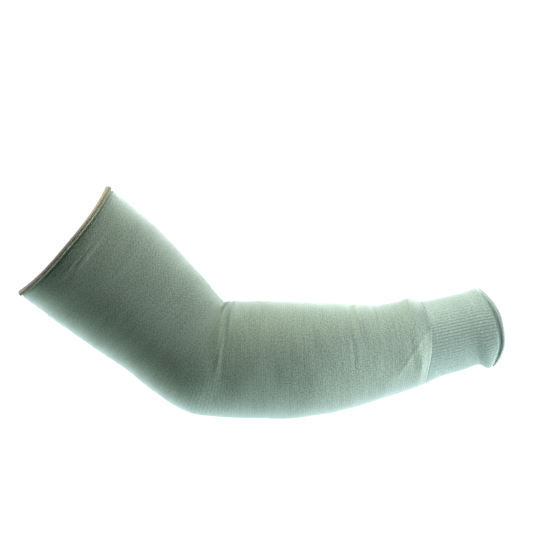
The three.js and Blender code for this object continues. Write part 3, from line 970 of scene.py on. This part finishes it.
@dataclass
class SleeveBody:
    """The seamless plain-knit tube from the upper opening to the cuff."""

    arm: ArmForm
    wall: float = 1.5
    clearance: float = 0.3
    edge_leaf: float = 0.9
    ledge: float = 0.25
    ledge_round: float = 9.5
    edge_band: float = 3.4
    groove_depth: float = 0.9
    groove_width: float = 1.3
    columns: int = 300
    rounds_by_edge: int = 16
    rounds_outside: int = 260
    rounds_at_end: int = 12
    rounds_inside: int = 34

    @property
    def groove_place(self) -> float:
        """Where the groove beside the edge band is deepest."""
        return self.edge_band + self.groove_width / 2 - self.arm.upper_length

    def rings(self) -> list[Ring]:
        """Lays out the rounds of the shell.

        Returns:
            The rounds, along its outside, down to the cuff, and back inside.
        """
        first = -self.arm.upper_length + self.edge_leaf + self.clearance
        fine = self.groove_place + 3 * self.groove_width
        joint = self.arm.forearm_length - self.clearance / 2
        turn = joint - self.ledge_round
        places = np.append(np.linspace(first, fine, self.rounds_by_edge)[:-1],
                           np.linspace(fine, turn, self.rounds_outside))
        outside = [Ring(place, relief=1.0) for place in places]
        steps = np.linspace(0.0, 1.0, self.rounds_at_end + 1)[1:]
        drops = smooth(steps, 0.0, 1.0)
        end = [Ring(joint - self.ledge_round * (1 - t), drop=d) for t, d in zip(steps, drops)]
        end.append(Ring(joint - 0.3, inset=0.4, drop=1.0))
        inside = [Ring(place, self.wall) for place in np.linspace(turn, first, self.rounds_inside)]
        return outside + end + inside

    def step_to_cuff(self, angle: Array) -> Array:
        """Measures the step from the tube down to the cuff, where they meet.

        Args:
            angle: Angles round the arm.

        Returns:
            How far the tube's face comes down at each, in millimetres.
        """
        joint = np.full_like(angle, self.arm.forearm_length)
        tube = self.arm.points(SLEEVE_SECTIONS, SLEEVE_FOLDS, joint, angle)
        cuff = self.arm.points(CUFF_SECTIONS, (), joint, angle)
        return np.maximum(np.linalg.norm(tube - cuff, axis=-1) - self.ledge, self.ledge)

    def relief(self, along: Array, angle: Array) -> Array:
        """Returns the soft unevenness of a tube knitted in rounds and pulled over an arm."""
        pulled_in = self.groove_depth * np.exp(-(((along - self.groove_place) / self.groove_width) ** 2))
        return wander(along, angle, SLACK_WAVES) + wander(along, angle, COURSE_WAVES) - pulled_in

    def build(self) -> bpy.types.Object:
        """Builds the tube.

        Returns:
            Its object.
        """
        along, inset, share, drop = ring_columns(self.rings())
        angle = self.arm.even_angles(SLEEVE_SECTIONS, 0.0, self.columns)[None, :]
        lift = self.relief(along, angle) * share - inset - self.step_to_cuff(angle) * drop
        points = self.arm.points(SLEEVE_SECTIONS, SLEEVE_FOLDS, along, angle, lift)
        lengths = np.append(along[:, 0], along[0, 0])
        mesh = shell_mesh("knit_tube", points, self.arm.girth(SLEEVE_SECTIONS, 0.0), lengths)
        return place_piece("knit_tube", mesh, PLAIN_KNIT.make(), "sleeve_body")


@dataclass
class WristCuff:
    """The rib-knit cuff, with one crest and one furrow of real relief for each rib.

    The furrow beside the welt is shallower on the inner side and fades on the outer side.
    """

    arm: ArmForm
    wall: float = 2.2
    clearance: float = 0.3
    rib_pitch: float = 2.7
    rib_depth: float = 0.3
    welt_thickness: float = 3.0
    furrow_width: float = 2.4
    furrow_depth: float = 1.7
    furrow_lead: float = 1.2
    furrow_run_on: float = 0.4
    furrow_inner_share: float = 0.3
    furrow_outer_loss: float = 0.5
    furrow_grows: tuple[float, float] = (15.0, 60.0)
    furrow_fades: tuple[float, float] = (125.0, 165.0)
    # The painted shade in the groove by the welt: its strength, and where it grows in around the furrow's
    # start
    furrow_shade: float = 1.6
    shade_before: float = 1.6
    shade_after: float = 1.0
    rib_fade: float = 9.0
    rib_end_loss: float = 0.5
    slack_ribs: tuple[float, float] = (45.0, 100.0)
    tight_rib_share: float = 0.25
    tuck: float = 4.0
    steps_per_rib: int = 8
    rounds_outside: int = 60
    rounds_in_furrow: int = 8
    rounds_inside: int = 14

    @property
    def ribs(self) -> int:
        """How many ribs fit round the cuff at their own spacing."""
        half_width, half_depth = self.arm.cuff_width / 2, self.arm.cuff_depth / 2
        return round(math.pi * math.sqrt(2 * (half_width**2 + half_depth**2)) / self.rib_pitch)

    @property
    def furrow(self) -> float:
        """Where the furrow beside the welt starts."""
        return self.arm.total_length - self.welt_thickness - self.furrow_width

    def rings(self) -> list[Ring]:
        """Lays out the rounds of the shell.

        Returns:
            The rounds, along its outside, down into the furrow, under the welt and back inside.
        """
        start = self.arm.forearm_length + self.clearance / 2
        welt = self.arm.total_length - self.welt_thickness
        brink = self.furrow - self.furrow_lead
        hidden = [Ring(start - self.tuck, inset=2.0), Ring(start - self.tuck / 4, inset=0.3, relief=0.9)]
        outside = [Ring(place, relief=1.0) for place in np.linspace(start, brink, self.rounds_outside)]
        steps = np.linspace(0.0, 1.0, self.rounds_in_furrow + 1)[1:]
        depths = self.furrow_depth * smooth(steps, 0.0, 1.0)
        run = self.furrow_width + self.furrow_run_on
        slope = [Ring(brink + run * t, depth, relief=1.0 - 0.6 * t) for t, depth in zip(steps, depths)]
        end = [Ring(welt + 0.2, self.furrow_depth + 0.05, relief=0.3),
               Ring(welt + 0.8, self.furrow_depth + 0.15, relief=0.2), Ring(welt + 0.9, self.wall)]
        inside = [Ring(place, self.wall) for place in np.linspace(welt, start, self.rounds_inside)]
        return hidden + outside + slope + end + inside + [Ring(start - self.tuck, inset=2.6)]

    def rib_tree(self) -> bpy.types.NodeTree:
        """Makes the tree that sinks a furrow between each rib and the next, along the face's normal.

        Returns:
            The tree, with the inputs Ribs, Depth and Material.
        """
        tree, source = geometry_tree("Rib relief", {
            "Ribs": "NodeSocketFloat", "Depth": "NodeSocketFloat", "Material": "NodeSocketMaterial"})
        turn, share = (
            add_node(tree, NAMED_ATTRIBUTE, {"Name": name}, data_type="FLOAT") for name in ("turn", "share"))
        place = add_node(tree, MATH, (turn, source.outputs["Ribs"]), operation="MULTIPLY")
        angle = add_node(tree, MATH, (place, 2 * math.pi), operation="MULTIPLY")
        wave = add_node(tree, MATH, (angle,), operation="COSINE")
        hollow = add_node(tree, MATH, (wave, -0.5, 0.5), operation="MULTIPLY_ADD")
        narrow = add_node(tree, MATH, (hollow, 1.5), operation="POWER")
        slack = add_node(tree, MATH, (narrow, share), operation="MULTIPLY")
        inward = add_node(tree, MATH, (source.outputs["Depth"], -1.0), operation="MULTIPLY")
        deep = add_node(tree, MATH, (slack, inward), operation="MULTIPLY")
        normal = add_node(tree, "GeometryNodeInputNormal")
        move = add_node(tree, "ShaderNodeVectorMath", {0: normal, "Scale": deep}, operation="SCALE")
        ribbed = add_node(tree, "GeometryNodeSetPosition", {
            "Geometry": source.outputs["Geometry"], "Offset": move})
        finish_tree(tree, source, ribbed)
        return tree

    def build(self) -> bpy.types.Object:
        """Builds the cuff.

        Returns:
            Its object.
        """
        rings = self.rings()
        along, inset, relief, _ = ring_columns(rings)
        columns = self.ribs * self.steps_per_rib
        middle = self.arm.forearm_length + self.arm.cuff_length / 2
        angle = self.arm.even_angles(CUFF_SECTIONS, middle, columns)[None, :]
        turned = turn_from_inner(angle)
        deep = (self.furrow_inner_share + (1 - self.furrow_inner_share) * smooth(turned, *self.furrow_grows)
                - self.furrow_outer_loss * smooth(turned, *self.furrow_fades))
        is_furrow = (inset > 0) & (inset < self.wall) & (along > middle)
        points = self.arm.points(CUFF_SECTIONS, (), along, angle, -inset * np.where(is_furrow, deep, 1.0))
        lengths = np.append(along[:, 0], along[0, 0])
        smooth_cuff = shell_mesh("rib_cuff", points, self.ribs * self.rib_pitch, lengths)
        end = self.arm.total_length
        loose = self.tight_rib_share + (1 - self.tight_rib_share) * smooth(turned, *self.slack_ribs)
        fade = 1 - self.rib_end_loss * smooth(along, end - self.rib_fade, end)
        # Painted shade: the rib furrows get it by their relief share, the groove by the welt by its own mark
        shade = smooth(along, self.furrow - self.shade_before, self.furrow + self.shade_after)
        mark_points(smooth_cuff, "share", relief * fade * loose)
        mark_points(smooth_cuff, "turn", np.tile(np.arange(columns) / columns, len(rings)))
        mark_points(smooth_cuff, "groove_shade", self.furrow_shade * shade * deep)
        finish = RIB_KNIT.make()
        ribbed = run_tree(smooth_cuff, self.rib_tree(), {
            "Ribs": float(self.ribs), "Depth": self.rib_depth * MM, "Material": finish})
        return place_piece("rib_cuff", ribbed, finish, "wrist_cuff")


@dataclass
class CuffWelt:
    """The rolled welt that ends the cuff, with a small swelling over each rib."""

    arm: ArmForm
    ribs: int
    rib_pitch: float
    thickness: float = 3.0
    squash: float = 0.85
    cuff_wall: float = 2.2
    swelling: float = 0.2
    steps_per_rib: int = 6
    steps_round: int = 20

    def build(self) -> bpy.types.Object:
        """Builds the welt.

        Returns:
            Its object.
        """
        radius = self.thickness / 2
        turn = (np.arange(self.steps_round) / self.steps_round * 2 * math.pi)[:, None]
        columns = self.ribs * self.steps_per_rib
        angle = self.arm.even_angles(CUFF_SECTIONS, self.arm.total_length, columns)[None, :]
        phase = (np.arange(columns) / self.steps_per_rib * 2 * math.pi)[None, :]
        rolled = radius + self.swelling * (np.cos(phase) - 1) / 2
        along = self.arm.total_length - radius - rolled * self.squash * np.cos(turn)
        inset = self.cuff_wall / 2 - rolled * np.sin(turn)
        points = self.arm.points(CUFF_SECTIONS, (), along, angle, -inset)
        lengths = np.arange(self.steps_round + 1) / self.steps_round * 2 * math.pi * radius
        mesh = shell_mesh("rolled_welt", points, self.ribs * self.rib_pitch, lengths)
        return place_piece("rolled_welt", mesh, WELT_KNIT.make(), "cuff_welt")


@dataclass
class TopEdge:
    """The elastic edge of the upper opening: a folded band with overlock stitches wrapped round it.

    A thread along the fold locks the stitches. Band and stitches carry their place across the band.
    """

    arm: ArmForm
    width: float = 3.4
    leaf: float = 0.9
    clearance: float = 0.3
    body_wall: float = 1.5
    fold_round: float = 1.3
    columns: int = 320
    stitch_pitch: float = 1.6
    stitch_overlap: float = 0.3
    stitch_rise: float = 1.55
    thread: float = 0.5
    thread_sides: int = 6
    steps_per_stitch: int = 7
    locking_thread: float = 1.5
    locking_thread_sides: int = 10

    @property
    def outside(self) -> float:
        """How far under the knit's face the band's outer side lies: it stands proud, so below 0."""
        return -self.clearance - self.leaf

    @property
    def inside(self) -> float:
        """How far under the knit's face the band's inner side lies."""
        return self.body_wall + self.clearance + self.leaf

    def profile(self) -> list[Ring]:
        """Lays out the band's own section.

        Returns:
            The rounds of its shell, with a rounded fold and rounded leaf edges.
        """
        end = -self.arm.upper_length
        back = end + self.width
        deep = (self.inside - self.outside) / 2
        centre = (self.inside + self.outside) / 2
        rings = [Ring(end + self.fold_round * (1 - math.cos(turn)), centre + deep * math.sin(turn))
                 for turn in np.linspace(-math.pi / 2, math.pi / 2, 11)]
        rings += [Ring(back - 0.8, self.inside), Ring(back - 0.2, self.inside - 0.3),
                  Ring(back, self.inside - 0.7), Ring(back, 0.1 - self.clearance),
                  Ring(back - 0.2, self.outside + 0.5), Ring(back - 0.8, self.outside + 0.1)]
        return rings[::-1]

    def build_band(self) -> bpy.types.Object:
        """Builds the folded band.

        Returns:
            Its object.
        """
        rings = self.profile()
        along, inset, _, _ = ring_columns(rings)
        end = -self.arm.upper_length
        angle = self.arm.even_angles(SLEEVE_SECTIONS, end, self.columns)[None, :]
        lift = wander(np.zeros((1, 1)), angle, EDGE_WAVES) - inset
        points = self.arm.points(SLEEVE_SECTIONS, SLEEVE_FOLDS, along, angle, lift)
        lengths = np.arange(len(rings) + 1) * 1.0
        mesh = shell_mesh("edge_band", points, self.arm.girth(SLEEVE_SECTIONS, end), lengths)
        across = np.clip((along - end) / self.width, 0.0, 1.0)
        across[inset > self.body_wall / 2 + 0.5] *= -1
        mark_points(mesh, "across_band", np.repeat(across, self.columns))
        return place_piece("edge_band", mesh, BAND_KNIT.make(), "top_edge")

    def stitch_points(self) -> bpy.types.Mesh:
        """Places the stitches evenly round the opening.

        Returns:
            One point for each stitch, on the band's end, with its outward and onward directions.
        """
        end = -self.arm.upper_length
        count = round(self.arm.girth(SLEEVE_SECTIONS, end) / self.stitch_pitch)
        angle = self.arm.even_angles(SLEEVE_SECTIONS, end, count)
        middle_of_wall = self.body_wall / 2
        there = np.full(count, end)
        base, above, beyond = (
            self.arm.points(SLEEVE_SECTIONS, SLEEVE_FOLDS, place, angle, lift)
            for place, lift in ((there, -middle_of_wall), (there, 1.0), (there + 2.0, -middle_of_wall)))
        mesh = bpy.data.meshes.new("overlock_stitches")
        mesh.from_pydata((base * MM).tolist(), [], [])
        for name, way in (("outward", above - base), ("onward", beyond - base)):
            unit = way / np.linalg.norm(way, axis=1)[:, None]
            layer = mesh.attributes.new(name, "FLOAT_VECTOR", "POINT")
            layer.data.foreach_set("vector", unit.astype(np.float32).ravel())
        return mesh

    def stitch_tree(self) -> bpy.types.NodeTree:
        """Makes the tree that wraps one looped stitch over the band at each point.

        Returns:
            The tree, with the inputs Width, Pitch, Reach, Thread and Material.
        """
        tree, source = geometry_tree("Overlock stitches", {
            "Width": "NodeSocketFloat", "Pitch": "NodeSocketFloat", "Reach": "NodeSocketFloat",
            "Thread": "NodeSocketFloat", "Material": "NodeSocketMaterial"})
        width, pitch, reach = (source.outputs[name] for name in ("Width", "Pitch", "Reach"))
        half, back, under, high, low, before, part_way, radius, inner_from = (
            add_node(tree, MATH, (size, share), operation="MULTIPLY")
            for size, share in (
                (pitch, 0.5), (pitch, -0.5), (reach, -1.0), (reach, self.stitch_rise),
                (reach, -self.stitch_rise), (width, -0.02), (width, 0.3), (source.outputs["Thread"], 0.5),
                (reach, -0.3)))
        loops = add_node(tree, "GeometryNodeJoinGeometry")
        for corners in (
            ((width, half, reach), (part_way, 0.0, high), (before, back, 0.0)),
            ((width, back, under), (part_way, 0.0, low), (before, half, 0.0)),
            ((width, back, reach), (width, 0.0, high), (width, half, reach)),
        ):
            start, middle, end = (add_node(tree, "ShaderNodeCombineXYZ", corner) for corner in corners)
            arc = add_node(tree, "GeometryNodeCurveQuadraticBezier", {
                "Resolution": self.steps_per_stitch, "Start": start, "Middle": middle, "End": end})
            tree.links.new(arc.outputs[0], loops.inputs[0])
        ring = add_node(tree, "GeometryNodeCurvePrimitiveCircle", {
            "Resolution": self.thread_sides, "Radius": radius})
        stitch = add_node(tree, "GeometryNodeCurveToMesh", {
            "Curve": loops, "Profile Curve": ring, "Fill Caps": True})
        spot = add_node(tree, "ShaderNodeSeparateXYZ", (add_node(tree, "GeometryNodeInputPosition"),))
        is_inner = add_node(tree, MATH, (spot.outputs["Z"], inner_from), operation="LESS_THAN")
        side = add_node(tree, MATH, (is_inner, -2.0, 1.0), operation="MULTIPLY_ADD")
        share = add_node(tree, MATH, (spot.outputs["X"], width), operation="DIVIDE")
        across = add_node(tree, MATH, (share, side), operation="MULTIPLY")
        marked = add_node(tree, "GeometryNodeStoreNamedAttribute", {
            "Geometry": stitch, "Name": "across_band", "Value": across}, data_type="FLOAT", domain="POINT")
        ways = [add_node(tree, NAMED_ATTRIBUTE, {"Name": name}, data_type="FLOAT_VECTOR")
                for name in ("outward", "onward")]
        facing = add_node(tree, "FunctionNodeAxesToRotation", ways, primary_axis="Z", secondary_axis="X")
        placed = add_node(tree, "GeometryNodeInstanceOnPoints", {
            "Points": source.outputs["Geometry"], "Instance": marked, "Rotation": facing})
        finish_tree(tree, source, add_node(tree, "GeometryNodeSetShadeSmooth", {"Geometry": placed}))
        return tree

    def locking_path(self) -> bpy.types.Mesh:
        """Draws the closed line that the locking thread follows along the edge.

        Returns:
            The line, as a mesh of edges.
        """
        end = -self.arm.upper_length + self.locking_thread / 4
        angle = self.arm.even_angles(SLEEVE_SECTIONS, end, self.columns)
        there = np.full_like(angle, end)
        line = self.arm.points(SLEEVE_SECTIONS, SLEEVE_FOLDS, there, angle, -self.body_wall / 2)
        mesh = bpy.data.meshes.new("locking_thread")
        edges = [(k, (k + 1) % self.columns) for k in range(self.columns)]
        mesh.from_pydata((line * MM).tolist(), edges, [])
        return mesh

    def locking_tree(self) -> bpy.types.NodeTree:
        """Makes the tree that runs a round thread along the path.

        Returns:
            The tree, with the inputs Thread and Material.
        """
        tree, source = geometry_tree("Locking thread", {
            "Thread": "NodeSocketFloat", "Material": "NodeSocketMaterial"})
        path = add_node(tree, "GeometryNodeMeshToCurve", (source.outputs["Geometry"],))
        radius = add_node(tree, MATH, (source.outputs["Thread"], 0.5), operation="MULTIPLY")
        ring = add_node(tree, "GeometryNodeCurvePrimitiveCircle", {
            "Resolution": self.locking_thread_sides, "Radius": radius})
        tube = add_node(tree, "GeometryNodeCurveToMesh", {"Curve": path, "Profile Curve": ring})
        finish_tree(tree, source, add_node(tree, "GeometryNodeSetShadeSmooth", {"Geometry": tube}))
        return tree

    def build_locking_thread(self) -> bpy.types.Object:
        """Builds the thread that locks the stitches along the edge.

        Returns:
            Its object.
        """
        # The thread's dark line at the fold is partly painted shade
        finish = LOCKING_THREAD_WITH_PAINTED_SHADE.make()
        mesh = run_tree(self.locking_path(), self.locking_tree(), {
            "Thread": self.locking_thread * MM, "Material": finish})
        return place_piece("locking_thread", mesh, finish, "top_edge")

    def build_stitches(self) -> bpy.types.Object:
        """Builds the overlock stitches.

        Returns:
            Their object.
        """
        finish = OVERLOCK_THREAD.make()
        mesh = run_tree(self.stitch_points(), self.stitch_tree(), {
            "Width": (self.width + self.stitch_overlap) * MM, "Pitch": self.stitch_pitch * MM,
            "Reach": (self.inside - self.outside) / 2 * MM, "Thread": self.thread * MM, "Material": finish})
        return place_piece("overlock_stitches", mesh, finish, "top_edge")


@dataclass(frozen=True)
class SoftLight:
    """One square softbox that points at the sleeve, with its place and side in metres."""

    name: str
    place: tuple[float, float, float]
    watts: float
    colour: str
    side: float = 1.3

    def add(self, aim: Vector) -> None:
        """Adds the light, turned toward its aim and out of the camera's sight.

        Args:
            aim: The point that it is turned toward, in metres.
        """
        data = bpy.data.lights.new(self.name, "AREA")
        data.size = self.side
        data.energy = self.watts
        data.color = linear(self.colour)[:3]
        light = bpy.data.objects.new(self.name, data)
        light.location = self.place
        light.visible_camera = False
        light.rotation_euler = (aim - Vector(self.place)).to_track_quat("-Z", "Y").to_euler()
        bpy.context.scene.collection.objects.link(light)


SOFT_LIGHTS = (
    SoftLight("Upper left softbox", place=(-1.5, 0.0, 1.65), watts=78.0, colour="#fffef8"),
    SoftLight("Rear left softbox", place=(-1.7, 1.3, 0.1), watts=44.0, colour="#f1eeff"),
    SoftLight("Rear right softbox", place=(1.7, 1.3, 0.6), watts=32.0, colour="#f2fff4"),
    SoftLight("Table light left", place=(-1.3, 1.1, -1.25), watts=32.0, colour="#e6fff2"),
    SoftLight("Table light right", place=(1.6, 0.0, -1.5), watts=58.0, colour="#e1efff"),
    SoftLight("Hand end softbox", place=(2.25, 0.0, 0.1), watts=32.0, colour="#fff6ff"),
    SoftLight("Front right fill", place=(1.6, -1.55, 0.1), watts=6.0, colour="#eafff0"),
    SoftLight("Hand end card", place=(0.22, -0.16, 0.05), watts=0.185, colour="#ebebff", side=0.12),
)


@dataclass
class Studio:
    """The pale floor, soft lights and camera."""

    camera_distance: float = 6.0
    frame_width: float = 0.4752
    centre: tuple[float, float] = (0.05456, 0.07656)
    floor_height: float = -0.3
    floor_reach: float = 1.6
    seen_white: float = 1.05
    given_light: float = 0.02

    def build_camera(self) -> None:
        """Adds the camera, level and square to the bend, from far enough to look almost parallel."""
        data = bpy.data.cameras.new("Photo camera")
        data.sensor_width = SENSOR_MM
        data.lens = SENSOR_MM * self.camera_distance / self.frame_width
        data.clip_end = 50.0
        camera = bpy.data.objects.new("Photo camera", data)
        camera.location = (self.centre[0], -self.camera_distance, self.centre[1])
        camera.rotation_euler = (math.radians(90), 0.0, 0.0)
        bpy.context.scene.collection.objects.link(camera)
        bpy.context.scene.camera = camera

    def build_floor(self) -> None:
        """Adds a pale floor below the sleeve, which an arm holds up off it."""
        mesh = bpy.data.meshes.new("studio_floor")
        corners = [(x * self.floor_reach, y * self.floor_reach, self.floor_height)
                   for x, y in ((-1, -1), (1, -1), (1, 1), (-1, 1))]
        mesh.from_pydata(corners, [], [(0, 1, 2, 3)])
        floor = bpy.data.objects.new("studio_floor", mesh)
        bpy.context.scene.collection.objects.link(floor)
        material, tree = start_material("Pale studio paper")
        finish_material(tree, {"Base Color": linear("#f2f4f3"), "Roughness": 0.9})
        mesh.materials.append(material)
        floor.visible_shadow = False
        floor.visible_diffuse = False

    def build_lights(self) -> None:
        """Adds the white surround and the soft lights above, below and behind the sleeve."""
        world = bpy.data.worlds.new("White studio")
        bpy.context.scene.world = world
        world.use_nodes = True
        tree = world.node_tree
        tree.nodes.clear()
        seen, given = (
            add_node(tree, "ShaderNodeBackground", {"Color": linear(colour), "Strength": strength})
            for colour, strength in (("#ffffff", self.seen_white), ("#e4efe9", self.given_light)))
        is_seen = add_node(tree, "ShaderNodeLightPath").outputs["Is Camera Ray"]
        mixed = add_node(tree, "ShaderNodeMixShader", (is_seen, given, seen))
        add_node(tree, "ShaderNodeOutputWorld", {"Surface": mixed})
        for light in SOFT_LIGHTS:
            light.add(Vector((self.centre[0], 0.0, self.centre[1])))


def main() -> None:
    """Builds the sleeve piece by piece, then the studio."""
    logging.basicConfig(level=logging.INFO, format="%(name)s: %(message)s", force=True)
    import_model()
    arm = ArmForm()
    body = SleeveBody(arm).build()
    cuff_maker = WristCuff(arm)
    cuff = cuff_maker.build()
    welt = CuffWelt(arm, cuff_maker.ribs, cuff_maker.rib_pitch).build()
    edge = TopEdge(arm)
    band = edge.build_band()
    stitches = edge.build_stitches()
    locking = edge.build_locking_thread()
    studio = Studio()
    studio.build_camera()
    studio.build_floor()
    studio.build_lights()
    bpy.context.scene.view_settings.view_transform = "Standard"


if __name__ == "__main__":
    main()
